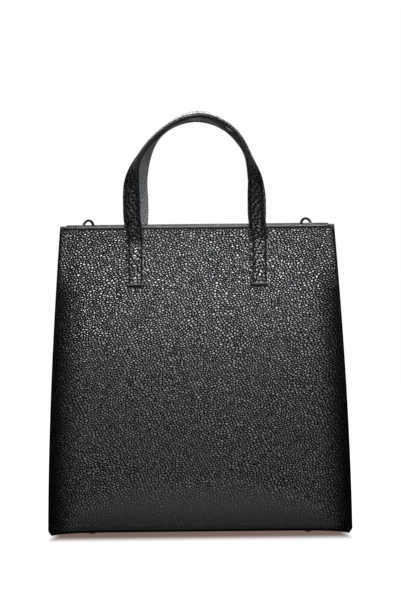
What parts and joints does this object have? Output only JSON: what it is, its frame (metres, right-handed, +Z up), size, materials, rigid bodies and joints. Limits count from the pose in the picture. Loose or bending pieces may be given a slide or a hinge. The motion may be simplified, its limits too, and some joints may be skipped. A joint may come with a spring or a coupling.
{
  "type": "leather handbag",
  "caption": "Structured tote handbag with stiff leather panels, folding gussets, two flat strap handles, strap rings and a footed base.",
  "frame": {"origin": "on the ground under the middle of the bag", "axes": "+Z up, +X to the right seen from the front, -Y out of the front panel"},
  "size_m": [0.303, 0.1192, 0.4209],
  "materials": {
    "panel_leather": "black pebbled leather, satin",
    "strap_leather": "black pebbled leather, painted edges",
    "strap_lining": "black pebbled leather, underside of the strap",
    "facing_leather": "smooth black leather",
    "lining_cloth": "fine black twill",
    "fibre_board": "pressed fibre board",
    "dark_nickel": "dark nickel plate",
    "foot_metal": "pale gold plate"
  },
  "bodies": {
    "bag": {"front_panel": "panel_leather", "back_panel": "panel_leather", "gusset_left": "panel_leather", "gusset_right": "panel_leather", "base_panel": "panel_leather", "front_stiffener": "fibre_board", "back_stiffener": "fibre_board", "base_board": "fibre_board", "facing_front": "facing_leather", "facing_back": "facing_leather", "lining_front": "lining_cloth", "lining_back": "lining_cloth", "lining_left": "lining_cloth", "lining_right": "lining_cloth", "lining_base": "lining_cloth", "foot_front_left": "foot_metal", "foot_front_right": "foot_metal", "foot_back_left": "foot_metal", "foot_back_right": "foot_metal", "washer_front_left": "dark_nickel", "washer_front_right": "dark_nickel", "washer_back_left": "dark_nickel", "washer_back_right": "dark_nickel", "ring_loop_left": "facing_leather", "ring_loop_right": "facing_leather", "handle_front_end_left": "strap_leather", "handle_front_end_right": "strap_leather", "handle_back_end_left": "strap_leather", "handle_back_end_right": "strap_leather", "snap_socket": "dark_nickel", "snap_stud": "dark_nickel", "snap_washer_front": "dark_nickel", "snap_washer_back": "dark_nickel"},
    "handle_front": {"handle_front_strap": "strap_leather", "handle_front_lining": "strap_lining"},
    "handle_back": {"handle_back_strap": "strap_leather", "handle_back_lining": "strap_lining"},
    "ring_left": {"strap_ring_left": "dark_nickel"},
    "ring_right": {"strap_ring_right": "dark_nickel"}
  },
  "joints": [
    {"name": "handle_front_swing", "type": "hinge", "parent": "bag", "child": "handle_front", "pos_m": [0, -0.04179, 0.311], "axis": [1, 0, 0], "range_deg": [-16, 120]},
    {"name": "handle_back_swing", "type": "hinge", "parent": "bag", "child": "handle_back", "pos_m": [0, 0.04179, 0.311], "axis": [-1, 0, 0], "range_deg": [-16, 120]},
    {"name": "ring_left_swing", "type": "hinge", "parent": "bag", "child": "ring_left", "pos_m": [-0.11079, -0.00504, 0.304], "axis": [0.5934, 0.8049, 0], "range_deg": [-85, 85]},
    {"name": "ring_right_swing", "type": "hinge", "parent": "bag", "child": "ring_right", "pos_m": [0.11079, -0.00504, 0.304], "axis": [-0.5934, 0.8049, 0], "range_deg": [-85, 85]}
  ]
}
